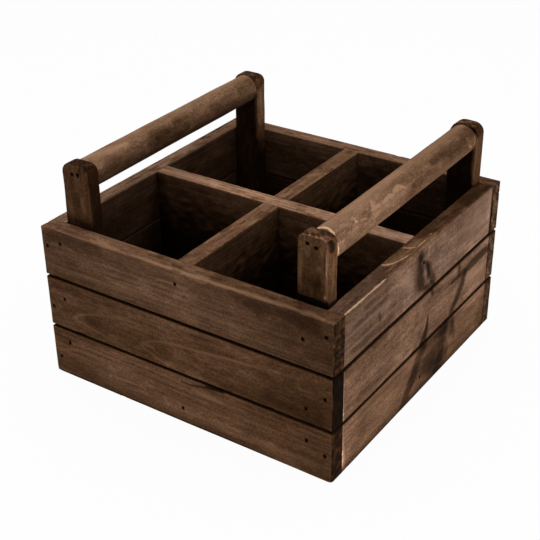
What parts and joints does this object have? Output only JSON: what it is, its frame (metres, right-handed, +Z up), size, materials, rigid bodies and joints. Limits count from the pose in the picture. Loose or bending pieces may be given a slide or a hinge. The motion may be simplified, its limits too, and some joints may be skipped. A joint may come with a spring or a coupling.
{
  "type": "condiment crate",
  "caption": "Open-topped rustic slatted wooden condiment crate with crossed half-lapped dividers, corner posts and round dowel carry handles.",
  "frame": {"origin": "centre of the crate's outline on the plane it stands on", "axes": "+Z up, the front wall faces -Y and the handles run along Y, +X to the right of someone facing the front"},
  "size_m": [0.25, 0.25, 0.1763],
  "materials": {
    "slat_wood": "matte dark stain, worn at the edges",
    "post_wood": "matte dark stain, worn at the edges",
    "handle_wood": "matte dark stain, rubbed thin",
    "divider_wood": "matte dark stain, paler top edges",
    "base_wood": "matte dark stain"
  },
  "bodies": {
    "root": {"front_slat_bottom": "slat_wood", "front_slat_middle": "slat_wood", "front_slat_top": "slat_wood", "back_slat_bottom": "slat_wood", "back_slat_middle": "slat_wood", "back_slat_top": "slat_wood", "left_slat_bottom": "slat_wood", "left_slat_middle": "slat_wood", "left_slat_top": "slat_wood", "right_slat_bottom": "slat_wood", "right_slat_middle": "slat_wood", "right_slat_top": "slat_wood", "base_panel": "base_wood", "divider_side_to_side": "divider_wood", "divider_front_to_back": "divider_wood", "post_front_left": "post_wood", "post_front_right": "post_wood", "post_back_left": "post_wood", "post_back_right": "post_wood", "handle_left": "handle_wood", "handle_right": "handle_wood"}
  },
  "joints": []
}
